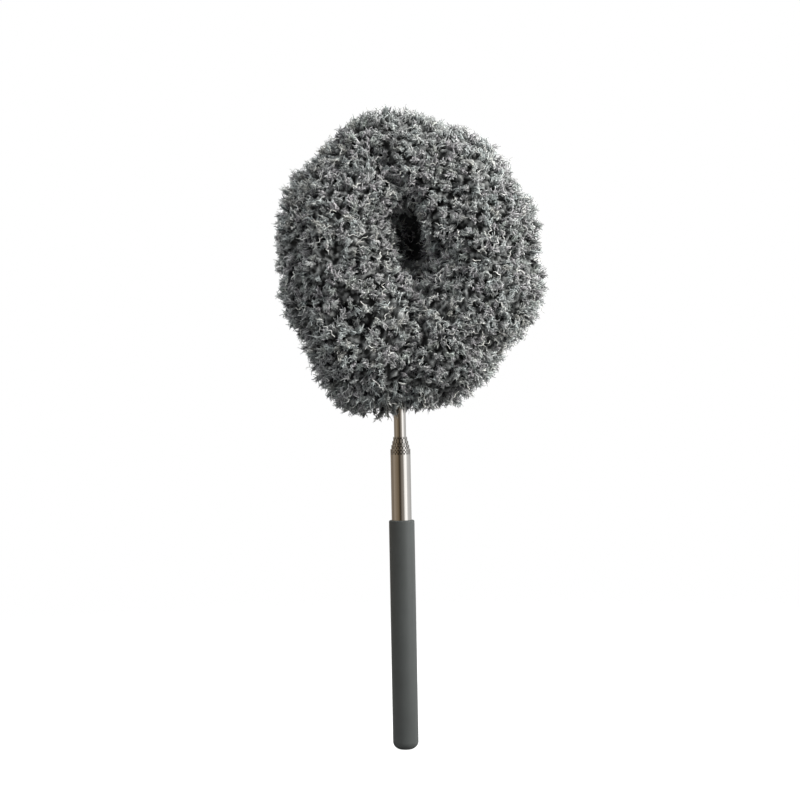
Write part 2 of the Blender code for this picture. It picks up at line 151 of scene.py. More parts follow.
class PileSettings(bpy.types.PropertyGroup):
    tip_colour: FloatVectorProperty(
        name="Yarn tips",
        description="Colour at the ends of the yarn",
        subtype="COLOR",
        default=(0.45, 0.454, 0.45),
    )
    # painted shade: the near-black colour deep in the pile stands in for the shade between the yarn
    # ends
    painted_root_shade: FloatVectorProperty(
        name="Yarn roots",
        description="Colour deep in the pile",
        subtype="COLOR",
        default=(0.013, 0.0135, 0.0135),
    )
    backing_colour: FloatVectorProperty(
        name="Backing",
        description="Colour of the knitted backing",
        subtype="COLOR",
        default=(0.20, 0.205, 0.205),
    )
    spacing: FloatProperty(
        name="Tuft spacing",
        description="Least distance between yarn ends",
        default=4.25 * MM,
        unit="LENGTH",
    )
    tries: IntProperty(
        name="Tries", description="Places tried for a yarn end", default=26000, min=1
    )
    tuft_radius: FloatProperty(
        name="Tuft radius",
        description="Radius of a yarn end's frayed tip",
        default=3.1 * MM,
        unit="LENGTH",
    )
    depth: FloatProperty(
        name="Tuft depth",
        description="How deep the modelled yarn ends reach",
        default=14.5 * MM,
        unit="LENGTH",
    )
    strands: IntProperty(name="Strands", description="Strands in one yarn end", default=10, min=1)
    strand_radius: FloatProperty(
        name="Strand radius", description="Radius of one strand", default=0.48 * MM, unit="LENGTH"
    )
    kinds: IntProperty(
        name="Tuft kinds", description="How many different tufts are made", default=28, min=1
    )
    strays: IntProperty(
        name="Stray strands", description="Loose curled strands on the pile", default=520
    )
    seed: IntProperty(name="Seed", description="Seed for the pile's random choices", default=11)


class StageSettings(bpy.types.PropertyGroup):
    distance: FloatProperty(
        name="Camera distance",
        description="From the pole to the camera",
        default=1.7,
        unit="LENGTH",
    )
    view_width: FloatProperty(
        name="View width", description="Width seen at the pole", default=0.72, unit="LENGTH"
    )
    lean: FloatProperty(
        name="Lean",
        description="How far the duster leans in view",
        default=math.radians(1.07),
        unit="ROTATION",
    )


# ---------------------------------------------------------------- mesh helpers


def arc(centre, radii, start_degrees, end_degrees, steps):
    """Points of an elliptical arc in the (radius, height) plane, both ends included."""
    points = []
    for step in range(steps + 1):
        angle = math.radians(start_degrees + (end_degrees - start_degrees) * step / steps)
        across, up = radii[0] * math.cos(angle), radii[1] * math.sin(angle)
        points.append((centre[0] + across, centre[1] + up))
    return points


def turn_profile(points, sides):
    """Spins (radius, height) points a full turn about Z, closing a profile that is off the axis."""
    builder = bmesh.new()
    verts = [builder.verts.new((radius, 0.0, height)) for radius, height in points]
    edges = [builder.edges.new(pair) for pair in zip(verts, verts[1:])]
    if points[0][0] > MERGE:
        edges.append(builder.edges.new((verts[-1], verts[0])))
    bmesh.ops.spin(
        builder,
        geom=verts + edges,
        axis=UP,
        cent=(0, 0, 0),
        angle=TURN,
        steps=sides,
        use_merge=True,
    )
    bmesh.ops.remove_doubles(builder, verts=builder.verts, dist=MERGE)
    bmesh.ops.recalc_face_normals(builder, faces=builder.faces)
    return builder


def edges_of(verts):
    """The edges at some vertices, each once and in the same order every run."""
    return list(dict.fromkeys(edge for vert in verts for edge in vert.link_edges))


def add_piece(name, builder, material, body, replaces=(), sharp_degrees=35):
    """Makes the bmesh a smooth-shaded piece that rides on a body, and frees the bmesh."""
    mesh = bpy.data.meshes.new(name)
    builder.to_mesh(mesh)
    builder.free()
    mesh.materials.append(material)
    mesh.shade_smooth()
    if sharp_degrees:
        mesh.set_sharp_from_angle(angle=math.radians(sharp_degrees))
    piece = bpy.data.objects.new(name, mesh)
    bpy.context.scene.collection.objects.link(piece)
    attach(piece, body)
    if replaces:
        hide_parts(*replaces)
    return piece


# ---------------------------------------------------------------- material helpers


def add_node(tree, kind, values=None, **properties):
    """Adds a shader node to a tree and sets its properties, then its inputs' values."""
    node = tree.nodes.new(f"ShaderNode{kind}")
    for name, value in properties.items():
        setattr(node, name, value)
    for name, value in (values or {}).items():
        node.inputs[name].default_value = value
    return node


def fill_ramp(ramp, steps):
    """Sets a new colour ramp's stops from (position, colour) steps, lowest first."""
    while len(ramp.elements) < len(steps):
        ramp.elements.new(1.0)
    for element, (position, colour) in zip(ramp.elements, steps):
        element.position = position
        element.color = (*colour, 1)


def new_group(name, inputs, outputs):
    """An empty shader node group with named sockets: inputs are (name, type, default)."""
    group = bpy.data.node_groups.new(name, "ShaderNodeTree")
    for socket_name, kind, default in inputs:
        socket = group.interface.new_socket(name=socket_name, in_out="INPUT", socket_type=kind)
        socket.default_value = default
    for socket_name, kind in outputs:
        group.interface.new_socket(name=socket_name, in_out="OUTPUT", socket_type=kind)
    return group, group.nodes.new("NodeGroupInput"), group.nodes.new("NodeGroupOutput")


def grain_group():
    """Fine uneven grain on Object coordinates: a height for Bump and a soft mask."""
    if "fine_grain" in bpy.data.node_groups:
        return bpy.data.node_groups["fine_grain"]
    group, start, end = new_group(
        "fine_grain",
        [("Scale", "NodeSocketFloat", 900.0), ("Stretch", "NodeSocketFloat", 1.0)],
        [("Height", "NodeSocketFloat"), ("Patches", "NodeSocketFloat")],
    )
    links = group.links
    place = add_node(group, "TexCoord")
    squeeze = add_node(group, "CombineXYZ", {"X": 1.0, "Y": 1.0})
    links.new(start.outputs["Stretch"], squeeze.inputs["Z"])
    scaled = add_node(group, "VectorMath", operation="MULTIPLY")
    links.new(place.outputs["Object"], scaled.inputs[0])
    links.new(squeeze.outputs["Vector"], scaled.inputs[1])
    fine = add_node(group, "TexNoise", {"Detail": 4.0})
    links.new(scaled.outputs["Vector"], fine.inputs["Vector"])
    links.new(start.outputs["Scale"], fine.inputs["Scale"])
    broad = add_node(group, "TexNoise", {"Scale": 45.0, "Detail": 3.0})
    links.new(place.outputs["Object"], broad.inputs["Vector"])
    links.new(fine.outputs["Fac"], end.inputs["Height"])
    links.new(broad.outputs["Fac"], end.inputs["Patches"])
    return group


# (tint, colour) steps that each tuft's own hue is taken from
TUFT_HUES = (
    (0.0, (0.74, 0.76, 0.72)),
    (0.18, (0.92, 0.99, 0.95)),
    (0.36, (1.02, 0.98, 1.02)),
    (0.5, (0.98, 1.0, 0.99)),
    (0.66, (0.97, 1.04, 1.04)),
    (0.82, (1.06, 1.05, 0.99)),
    (1.0, (1.17, 1.17, 1.15)),
)


def yarn_group():
    """Yarn colour from tip to a root darkened by painted shade, with a tint for each tuft and flecks
    along the strands.
    """
    if "yarn_tone" in bpy.data.node_groups:
        return bpy.data.node_groups["yarn_tone"]
    group, start, end = new_group(
        "yarn_tone",
        [
            # Root is painted shade deep in the pile
            ("Root", "NodeSocketColor", (0.07, 0.07, 0.07, 1)),
            ("Tip", "NodeSocketColor", (0.45, 0.45, 0.45, 1)),
            ("Fleck Scale", "NodeSocketFloat", 1400.0),
        ],
        [("Color", "NodeSocketColor"), ("Fibres", "NodeSocketFloat")],
    )
    links = group.links
    # painted shade: along runs from root to tip, and the mix darkens the yarn towards its root
    along = add_node(group, "Attribute", attribute_name="along")
    rise = add_node(
        group, "MapRange", {"From Min": 0.1, "From Max": 0.95}, interpolation_type="SMOOTHSTEP"
    )
    links.new(along.outputs["Fac"], rise.inputs["Value"])
    tone = add_node(group, "Mix", data_type="RGBA")
    links.new(rise.outputs["Result"], tone.inputs["Factor"])
    links.new(start.outputs["Root"], tone.inputs["A"])
    links.new(start.outputs["Tip"], tone.inputs["B"])

    tint = add_node(group, "Attribute", attribute_name="tint")
    hues = add_node(group, "ValToRGB")
    fill_ramp(hues.color_ramp, TUFT_HUES)
    links.new(tint.outputs["Fac"], hues.inputs["Fac"])
    tinted = add_node(group, "Mix", data_type="RGBA", blend_type="MULTIPLY")
    tinted.inputs["Factor"].default_value = 1.0
    links.new(tone.outputs["Result"], tinted.inputs["A"])
    links.new(hues.outputs["Color"], tinted.inputs["B"])

    place = add_node(group, "TexCoord")
    flecks = add_node(group, "TexNoise", {"Detail": 3.0})
    links.new(place.outputs["Object"], flecks.inputs["Vector"])
    links.new(start.outputs["Fleck Scale"], flecks.inputs["Scale"])
    spread = add_node(
        group, "MapRange", {"From Min": 0.32, "From Max": 0.68, "To Min": 0.45, "To Max": 1.28}
    )
    links.new(flecks.outputs["Fac"], spread.inputs["Value"])
    fibre = add_node(group, "Attribute", attribute_name="fibre")
    strand = add_node(group, "MapRange", {"To Min": 0.35, "To Max": 1.55})
    links.new(fibre.outputs["Fac"], strand.inputs["Value"])
    both = add_node(group, "Math", operation="MULTIPLY")
    links.new(spread.outputs["Result"], both.inputs[0])
    links.new(strand.outputs["Result"], both.inputs[1])
    flecked = add_node(group, "VectorMath", operation="SCALE")
    links.new(tinted.outputs["Result"], flecked.inputs[0])
    links.new(both.outputs["Value"], flecked.inputs["Scale"])
    links.new(flecked.outputs["Vector"], end.inputs["Color"])
    links.new(flecks.outputs["Fac"], end.inputs["Fibres"])
    return group


def new_material(name):
    """A node material's Principled shader and node tree."""
    material = bpy.data.materials.new(name)
    material.use_nodes = True
    return material, material.node_tree.nodes["Principled BSDF"], material.node_tree


def place_group(tree, group, **values):
    """Adds a node group to a material, with its own values."""
    node = add_node(tree, "Group", node_tree=group)
    for socket_name, value in values.items():
        node.inputs[socket_name].default_value = value
    return node


def varied(tree, mask, low, high):
    """Maps the middle of a mask's range to low and high, and returns the result's socket."""
    node = add_node(
        tree, "MapRange", {"From Min": 0.3, "From Max": 0.7, "To Min": low, "To Max": high}
    )
    tree.links.new(mask, node.inputs["Value"])
    return node.outputs["Result"]


def toned(tree, mask, colour, darker, lighter):
    """A colour that varies in brightness with a mask."""
    low, high = ((*(channel * share for channel in colour), 1) for share in (darker, lighter))
    node = add_node(tree, "Mix", {"A": low, "B": high}, data_type="RGBA")
    tree.links.new(varied(tree, mask, 0.0, 1.0), node.inputs["Factor"])
    return node.outputs["Result"]


def bumped(tree, height, strength, distance):
    node = add_node(tree, "Bump", {"Strength": strength, "Distance": distance})
    tree.links.new(height, node.inputs["Height"])
    return node.outputs["Normal"]


def grained_material(name, colour, roughness, metallic, grain, tone=(0.92, 1.08), stretch=1.0):
    """A finish with fine grain in its surface, uneven gloss and slightly uneven colour.

    roughness is (least, most), and grain is (scale, bump strength, bump distance).
    """
    if name in bpy.data.materials:
        return bpy.data.materials[name]
    material, shader, tree = new_material(name)
    scale, strength, distance = grain
    surface = place_group(tree, grain_group(), Scale=scale, Stretch=stretch)
    patches, height = surface.outputs["Patches"], surface.outputs["Height"]
    tree.links.new(toned(tree, patches, colour, *tone), shader.inputs["Base Color"])
    tree.links.new(varied(tree, patches, *roughness), shader.inputs["Roughness"])
    tree.links.new(bumped(tree, height, strength, distance), shader.inputs["Normal"])
    shader.inputs["Metallic"].default_value = metallic
    return material


def steel_material(colour):
    """Polished steel with fine drawn lines, and painted shade that darkens its dimples and the gap
    at each mouth.
    """
    if "drawn_steel" in bpy.data.materials:
        return bpy.data.materials["drawn_steel"]
    material = grained_material(
        "drawn_steel", colour, (0.09, 0.15), 1.0, (2600.0, 0.04, 0.02 * MM), (0.97, 1.03), 0.04
    )
    tree = material.node_tree
    shader = tree.nodes["Principled BSDF"]
    # painted shade: a near-black colour laid on the dimples and the mouth's inner gap, where shade
    # falls
    painted_hollow_shade = add_node(tree, "Attribute", attribute_name="painted_hollow_shade")
    painted_shade = add_node(tree, "Mix", {"B": (0.012, 0.011, 0.010, 1)}, data_type="RGBA")
    tree.links.new(painted_hollow_shade.outputs["Fac"], painted_shade.inputs["Factor"])
    tree.links.new(shader.inputs["Base Color"].links[0].from_socket, painted_shade.inputs["A"])
    tree.links.new(painted_shade.outputs["Result"], shader.inputs["Base Color"])
    return material


def grip_material(colour):
    material = grained_material(
        "soft_rubber", colour, (0.40, 0.50), 0.0, (1500.0, 0.22, 0.05 * MM), (0.93, 1.07)
    )
    material.node_tree.nodes["Principled BSDF"].inputs["Specular IOR Level"].default_value = 0.6
    return material


def knit_group():
    """Rows of small loops on Object coordinates: a height for Bump and a mask of the gaps."""
    if "knit_rows" in bpy.data.node_groups:
        return bpy.data.node_groups["knit_rows"]
    group, start, end = new_group(
        "knit_rows",
        [("Rows", "NodeSocketFloat", 260.0)],
        [("Height", "NodeSocketFloat"), ("Loops", "NodeSocketFloat")],
    )
    links = group.links
    place = add_node(group, "TexCoord")
    both = add_node(group, "Math", operation="MULTIPLY")
    for index, (direction, distortion) in enumerate((("DIAGONAL", 1.5), ("Z", 0.6))):
        wave = add_node(group, "TexWave", {"Distortion": distortion}, bands_direction=direction)
        links.new(place.outputs["Object"], wave.inputs["Vector"])
        links.new(start.outputs["Rows"], wave.inputs["Scale"])
        links.new(wave.outputs["Fac"], both.inputs[index])
        if index == 0:
            links.new(wave.outputs["Fac"], end.inputs["Loops"])
    links.new(both.outputs["Value"], end.inputs["Height"])
    return group


def knit_material(name, colour, rows):
    """A matt knitted cloth."""
    if name in bpy.data.materials:
        return bpy.data.materials[name]
    material, shader, tree = new_material(name)
    knit = place_group(tree, knit_group(), Rows=rows)
    loops = toned(tree, knit.outputs["Loops"], colour, 0.6, 1.2)
    tree.links.new(loops, shader.inputs["Base Color"])
    tree.links.new(bumped(tree, knit.outputs["Height"], 0.6, 0.3 * MM), shader.inputs["Normal"])
    shader.inputs["Roughness"].default_value = 0.85
    shader.inputs["Specular IOR Level"].default_value = 0.2
    return material


# (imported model's slot, finish, colour, roughness range, metallic, grain) of the inner pieces
INNER_FINISHES = (
    (
        "moulded_plastic", "dark_plastic",
        (0.035, 0.036, 0.038), (0.32, 0.45), 0.0, (2200.0, 0.08, 0.02 * MM),
    ),
    (
        "phosphor_bronze", "sprung_bronze",
        (0.66, 0.42, 0.22), (0.22, 0.36), 1.0, (2600.0, 0.06, 0.02 * MM),
    ),
    (
        "spring_steel", "bright_wire",
        (0.50, 0.50, 0.51), (0.24, 0.36), 1.0, (2600.0, 0.06, 0.02 * MM),
    ),
    (
        "sheath_plastic", "milky_sheath",
        (0.42, 0.44, 0.45), (0.35, 0.48), 0.0, (1800.0, 0.1, 0.03 * MM),
    ),
)


def fitting_finishes():
    """The finish of every hard inner piece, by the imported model's slot names."""
    return {slot_name: grained_material(*finish) for slot_name, *finish in INNER_FINISHES}


def pile_material(tips, roots):
    material, shader, tree = new_material("yarn")
    # roots is the painted shade deep in the pile, tips the yarn's own colour
    yarn = place_group(tree, yarn_group(), Root=(*roots, 1), Tip=(*tips, 1))
    tree.links.new(yarn.outputs["Color"], shader.inputs["Base Color"])
    tree.links.new(bumped(tree, yarn.outputs["Fibres"], 0.5, 0.15 * MM), shader.inputs["Normal"])
    shader.inputs["Roughness"].default_value = 0.7
    shader.inputs["Specular IOR Level"].default_value = 0.2
    shader.inputs["Sheen Weight"].default_value = 0.06
    shader.inputs["Sheen Roughness"].default_value = 0.5
    return material


# ---------------------------------------------------------------- pole


def tube_radius(number, settings):
    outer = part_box("tube_1")[1].x
    return outer - settings.radius_step * (number - 1)


def tube_profile(number, settings):
    """Section of one tube: foot flange and bead for its friction sleeve, and a rolled mouth."""
    low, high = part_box(f"tube_{number}")
    radius = tube_radius(number, settings)
    bore = radius - settings.wall
    foot, top = low.z, high.z
    if number == 1:
        outside = [(radius, foot)]
    else:
        swell = high.x
        sleeve_low, sleeve_high = (corner.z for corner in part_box(f"friction_sleeve_{number}"))
        outside = [
            (swell, foot),
            (swell, sleeve_low - SEAT_GAP),
            (radius, sleeve_low - SEAT_GAP),
            (radius, sleeve_high + SEAT_GAP),
            (swell, sleeve_high + SEAT_GAP),
            (swell, sleeve_high + 2 * SEAT_GAP),
            (radius, sleeve_high + 1.4 * MM),
        ]
    if number == TUBE_COUNT:
        return outside + [(radius, top), (bore, top), (bore, foot)]
    mouth = tube_radius(number + 1, settings) + SLIDE_GAP
    shares = [share for row in dimple_rows(number) for share in row]
    band = [(radius, top - settings.mouth_height * share) for share in (shares[0] + 0.04, *shares)]
    rolled = arc((radius - MOUTH_LIP, top - MOUTH_LIP), (MOUTH_LIP, MOUTH_LIP), 0, 90, 5)
    inside = [
        (mouth + 0.1 * MM, top),
        (mouth, top - 0.15 * MM),
        (mouth, top - settings.mouth_height),
        (bore, top - settings.mouth_height - 0.25 * MM),
    ]
    if number == 1:
        inside.append((bore, foot))
    else:
        stop = tube_radius(number + 1, settings) - settings.wall
        inside += [(bore, foot + STOP_HEIGHT), (stop, foot + STOP_HEIGHT), (stop, foot)]
    return outside + band + rolled + inside


def dimple_rows(number):
    """Lower and upper edge of each row of dimples, as shares of the mouth's height from its top."""
    rows = [(0.94, 0.55), (0.51, 0.14)]
    return [(1.37, 0.98)] + rows if number == 1 else rows


def punch_dimples(builder, number, count, settings):
    """Dents staggered rows round the mouth and marks the dents and the gap for painted shade."""
    painted_hollow_shade = builder.verts.layers.float.new("painted_hollow_shade")
    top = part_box(f"tube_{number}")[1].z
    radius = tube_radius(number, settings)
    for row, shift in zip(dimple_rows(number), (0, 2, 0)):
        height = top - settings.mouth_height * sum(row) / 2
        picked = []
        for face in builder.faces:
            middle = face.calc_center_median()
            if math.hypot(middle.x, middle.y) < radius - 0.5 * settings.wall:
                continue
            column = int((math.atan2(middle.y, middle.x) % TURN) / TURN * count * 4)
            if abs(middle.z - height) < 0.1 * MM and (column + shift) % 4 < 2:
                picked.append(face)
        bmesh.ops.inset_region(
            builder,
            faces=picked,
            thickness=0.1 * MM,
            depth=-settings.dimple_depth,
            use_even_offset=True,
        )
        # painted shade in each dimple
        for face in picked:
            for vert in face.verts:
                vert[painted_hollow_shade] = 1.0
    # painted shade on the mouth's inside, where the next tube runs in
    gap = tube_radius(number + 1, settings) + 0.3 * MM
    for vert in builder.verts:
        if math.hypot(vert.co.x, vert.co.y) < gap:
            vert[painted_hollow_shade] = 1.0


class DUSTER_OT_pole(bpy.types.Operator):
    """Makes the five polished tubes with rolled, dimpled mouths"""

    bl_idname = "duster.pole"
    bl_label = "Make pole tubes"

    def execute(self, context):
        settings = context.scene.duster_pole
        steel = steel_material(settings.steel_colour)
        bodies = ["handle"] + [f"section_{number}" for number in range(2, TUBE_COUNT + 1)]
        for number, body in enumerate(bodies, start=1):
            count = round(TURN * tube_radius(number, settings) / settings.dimple_pitch)
            builder = turn_profile(tube_profile(number, settings), count * 4)
            if number < TUBE_COUNT:
                punch_dimples(builder, number, count, settings)
            add_piece(
                f"steel_tube_{number}", builder, steel, body, [f"tube_{number}"]
            )
        return {"FINISHED"}


# ---------------------------------------------------------------- grip


class DUSTER_OT_grip(bpy.types.Operator):
    """Makes the soft hand grip with its rounded, closed end"""

    bl_idname = "duster.grip"
    bl_label = "Make hand grip"

    def execute(self, context):
        settings = context.scene.duster_grip
        low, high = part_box("grip_sleeve")
        radius = high.x
        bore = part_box("tube_1")[1].x + 0.1 * MM
        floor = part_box("tube_end_plug")[0].z - SEAT_GAP
        rounding = arc(
            (settings.end_flat, low.z + settings.end_round),
            (radius - settings.end_flat, settings.end_round),
            -90,
            0,
            14,
        )
        outer, inner = 1.3 * MM, 0.5 * MM
        rim = arc((radius - outer, high.z - outer), (outer, outer), 0, 90, 6)
        rim += arc((bore + inner, high.z - inner), (inner, inner), 90, 180, 4)
        profile = [(0, low.z)] + rounding + rim + [(bore, floor), (0, floor)]
        builder = turn_profile(profile, ROUND_SIDES)
        rubber = grip_material(settings.colour)
        add_piece("hand_grip", builder, rubber, "handle", ["grip_sleeve"])
        return {"FINISHED"}


# ---------------------------------------------------------------- fittings and lining


class DUSTER_OT_fittings(bpy.types.Operator):
    """Gives the plug, friction sleeves, tip, socket halves, screws and ferrules their finishes"""

    bl_idname = "duster.fittings"
    bl_label = "Finish fittings"

    def execute(self, context):
        finishes = fitting_finishes()
        finishes["polished_steel"] = steel_material(context.scene.duster_pole.steel_colour)
        for node in frame["nodes"].values():
            for holder in node.material_slots:
                slot_name = holder.material.name.split(".")[0]
                if slot_name in finishes:
                    holder.material = finishes[slot_name]
        return {"FINISHED"}


def refined_copy(node, name, material):
    """A smooth copy of a CAD node's mesh that rides where the node does and stands for it."""
    source = frame["nodes"][node]
    builder = bmesh.new()
    builder.from_mesh(source.data)
    bmesh.ops.remove_doubles(builder, verts=builder.verts, dist=MERGE)
    bmesh.ops.join_triangles(
        builder, faces=builder.faces, angle_face_threshold=0.6, angle_shape_threshold=0.9
    )
    piece = add_piece(name, builder, material, source["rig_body"], [node], 0)
    finer = piece.modifiers.new("finer", "SUBSURF")
    finer.levels = finer.render_levels = 1
    return piece


ELASTIC_THICKNESS = 1.6 * MM
GATHERS = 24
GATHER_DEPTH = 0.18 * MM


class DUSTER_OT_lining(bpy.types.Operator):
    """Makes the wire loop, its sheath, the knitted backing and the elastic at the cover's mouth"""

    bl_idname = "duster.lining"
    bl_label = "Make wire loop and lining"

    def execute(self, context):
        finishes = fitting_finishes()
        refined_copy("wire_loop", "spring_wire_loop", finishes["spring_steel"])
        refined_copy("loop_sheath", "wire_sheath", finishes["sheath_plastic"])
        cloth = context.scene.duster_pile.backing_colour
        refined_copy("cover_backing", "knit_backing", knit_material("knitted_cloth", cloth, 420.0))

        low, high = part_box("closure_band")
        inner = high.x - ELASTIC_THICKNESS
        half = (high.x - inner) / 2
        middle = (inner + half, (low.z + high.z) / 2)
        section = arc(middle, (half, (high.z - low.z) / 2), 0, 360, 16)[:-1]
        builder = turn_profile(section, ROUND_SIDES)
        for vert in builder.verts:
            gather = math.sin(GATHERS * math.atan2(vert.co.y, vert.co.x))
            outwards = Vector((vert.co.x, vert.co.y, 0)).normalized()
            vert.co -= outwards * (GATHER_DEPTH * (1 + gather))
        band = knit_material("elastic_cloth", cloth, 700.0)
        add_piece("mouth_elastic", builder, band, "head", ["closure_band"])
        return {"FINISHED"}


# ---------------------------------------------------------------- pile


SECTORS = 11
STRAY_KINDS = 12
STRAY_REACH = 16 * MM
MOUTH_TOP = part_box("closure_band")[1].z
POLE_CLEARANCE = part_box("tube_5")[1].x + 2.2 * MM
AT_HOLE = -0.999  # cosine of "across" where the ring closes on itself


class PileRing:
    """The pile's outer surface: a ring round the wire loop, with swells, folds and a closed hole.

    "around" is the angle round the loop, from +X towards +Z, and "across" the angle round the
    pile's own section: 0 is outermost, a half turn is at the hole, three quarters is the front.
    """

    # (angle round the loop in degrees, swell in mm, width in degrees) of the outline
    swells = (
        (2, -5.0, 8),
        (14, 1.0, 8),
        (31, -4.0, 9),
        (45, -2.0, 8),
        (76, -4.0, 9),
        (105, 5.0, 10),
        (118, 1.0, 22),
        (133, -6.0, 12),
        (150, 2.0, 20),
        (182, -5.0, 12),
        (212, -5.0, 12),
        (242, 13.0, 12),
        (258, 3.0, 9),
        (286, -1.0, 14),
        (315, -9.0, 9),
        (344, 4.0, 11),
    )
    # ((x, z) start, (x, z) end, width, height) of ridges and folds in the front, mm from the centre
    front_forms = (
        ((-6, 62), (-32, 112), 8, -19),
        ((8, -12), (6, -48), 7, -14),
        ((7, -40), (-3, -126), 6, -9),
        ((-78, -30), (-34, -66), 7, -20),
        ((-74, 43), (-22, 12), 17, 5),
        ((-22, 12), (-8, -44), 14, 6),
        ((-73, -43), (-56, -108), 7, 5),
        ((20, 34), (24, 20), 8, 13),
        ((34, 62), (52, 50), 9, -9),
        ((60, 20), (90, -30), 20, 3),
        ((-2, 30), (6, 0), 16, -9),
        ((-88, 70), (-99, 5), 8, -8),
        ((-99, 5), (-92, -46), 8, -8),
    )
    hole_shift = Vector((3.5, 0, 22)) * MM
    hole_half = (-1.5, 8)  # mm; below 0 the sides overlap, so that the hole is closed
    hole_tilt = math.radians(12)
    hole_setback = 21 * MM
    hair = 5 * MM  # that the loose ends stand out past the even surface, front and back

    def __init__(self):
        low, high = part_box("cover_pile")
        self.centre = (low + high) / 2
        self.radius = (high.y - low.y) / 2
        half = (high - low) / 2
        self.half_depth = self.radius - self.hair
        self.half_width = half.x - self.radius
        self.half_height = half.z - self.radius

    def heading(self, around):
        """Outward direction in the loop's plane."""
        out = Vector((math.cos(around) / self.half_width, 0, math.sin(around) / self.half_height))
        return out.normalized()

    def middle(self, around):
        """The centre of the pile's section; the left of the ring stands a little forward."""
        forward = -4 * MM * math.cos(around - math.radians(195))
        return self.centre + Vector(
            (self.half_width * math.cos(around), forward, self.half_height * math.sin(around))
        )

    def hole_point(self, around):
        """Where the section's inner side ends: a narrow, tilted slit that the pile fills."""
        along = self.hole_half[1] * MM * math.sin(around)
        aside = self.hole_half[0] * MM * math.cos(around)
        lean = Vector((math.cos(self.hole_tilt), 0, math.sin(self.hole_tilt)))
        rise = Vector((-math.sin(self.hole_tilt), 0, math.cos(self.hole_tilt)))
        return self.centre + self.hole_shift + lean * aside + rise * along

    def outer_reach(self, around):
        reach = self.radius
        for angle, size, width in self.swells:
            gap = (math.degrees(around) - angle) % 360
            reach += size * MM * math.exp(-((min(gap, 360 - gap) / width) ** 2))
        return reach

    def base_point(self, around, across):
        """The even surface, before ridges, folds and unevenness."""
        middle = self.middle(around)
        side = math.cos(across)
        if side >= 0:
            in_plane = self.heading(around) * (self.outer_reach(around) * side)
            setback = 0.0
        else:
            inward = self.hole_point(around) - middle
            in_plane = Vector((inward.x, 0, inward.z)) * -side
            setback = self.hole_setback * side * side
        return middle + in_plane + Vector((0, self.half_depth * math.sin(across) + setback, 0))

    def base_normal(self, around, across):
        step = 0.02
        run = self.base_point(around + step, across) - self.base_point(around - step, across)
        rise = self.base_point(around, across + step) - self.base_point(around, across - step)
        return rise.cross(run).normalized()

    def rise(self, place, across):
        """How far ridges, folds and unevenness lift the surface at a place."""
        lift = 4.0 * MM * noise.noise(place * 24) + 2.6 * MM * noise.noise(place * 62)
        front = max(0.0, -math.sin(across)) ** 0.5
        flat = Vector((place.x - self.centre.x, place.z - self.centre.z)) / MM
        if front > 0:
            for start, end, width, height in self.front_forms:
                line = Vector(end) - Vector(start)
                share = (flat - Vector(start)).dot(line) / line.length_squared
                nearest = Vector(start) + line * min(1.0, max(0.0, share))
                gap = (flat - nearest).length / width
                lift += front * height * MM * math.exp(-gap * gap)
        return lift

    def point(self, around, across, sink=0.0):
        place = self.base_point(around, across)
        return place + self.base_normal(around, across) * (self.rise(place, across) - sink)

    def normal(self, around, across):
        """Direction that the finished surface faces, folds included."""
        step = 0.035
        run = self.point(around + step, across) - self.point(around - step, across)
        rise = self.point(around, across + step) - self.point(around, across - step)
        return rise.cross(run).normalized()


def make_strand(builder, path, radius, start_along, fibre):
    """Adds one tapering strand of triangular section along a path, closed at both ends."""
    along = builder.verts.layers.float["along"]
    shade = builder.verts.layers.float["fibre"]
    last = len(path) - 1
    rings = []
    for step, spot in enumerate(path):
        share = step / last
        ahead = path[min(step + 1, last)] - path[max(step - 1, 0)]
        turn = ahead.to_track_quat("Z", "Y").to_matrix().to_4x4()
        thickness = radius * (1.0 if share < 0.65 else 1.0 - 0.5 * (share - 0.65) / 0.35)
        made = bmesh.ops.create_circle(
            builder, segments=3, radius=thickness, matrix=Matrix.Translation(spot) @ turn
        )
        for vert in made["verts"]:
            # painted shade: the strand's colour darkens towards its root
            vert[along] = start_along + (1 - start_along) * share
            vert[shade] = fibre
        rings.append(edges_of(made["verts"]))
    for first, second in zip(rings, rings[1:]):
        bmesh.ops.bridge_loops(builder, edges=first + second)
    bmesh.ops.holes_fill(builder, edges=rings[0] + rings[-1], sides=0)


def crimped_path(base, aim, length, crimp, wave, steps, dice):
    """Points of a wavy strand that starts at base and heads along aim."""
    side = aim.orthogonal().normalized()
    other = aim.cross(side)
    phase, second_phase = dice.uniform(0, TURN), dice.uniform(0, TURN)
    hook = dice.uniform(-0.28, 0.28) * length
    other_hook = dice.uniform(-0.28, 0.28) * length
    path = []
    for step in range(steps + 1):
        share = step / steps
        angle = TURN * share * length / wave
        sway = crimp * min(1.0, share * 2)
        path.append(
            base
            + aim * (length * (share - 0.12 * share**3))
            + side * (sway * math.sin(angle + phase) + hook * share**3)
            + other * (sway * math.cos(angle * 0.83 + second_phase) + other_hook * share**3)
        )
    return path


def template_builder():
    builder = bmesh.new()
    builder.verts.layers.float.new("along")
    builder.verts.layers.float.new("fibre")
    return builder


def finish_template(name, builder):
    bmesh.ops.recalc_face_normals(builder, faces=builder.faces)
    mesh = bpy.data.meshes.new(name)
    builder.to_mesh(mesh)
    builder.free()
    mesh.attributes.new("tint", "FLOAT", "POINT")
    return mesh


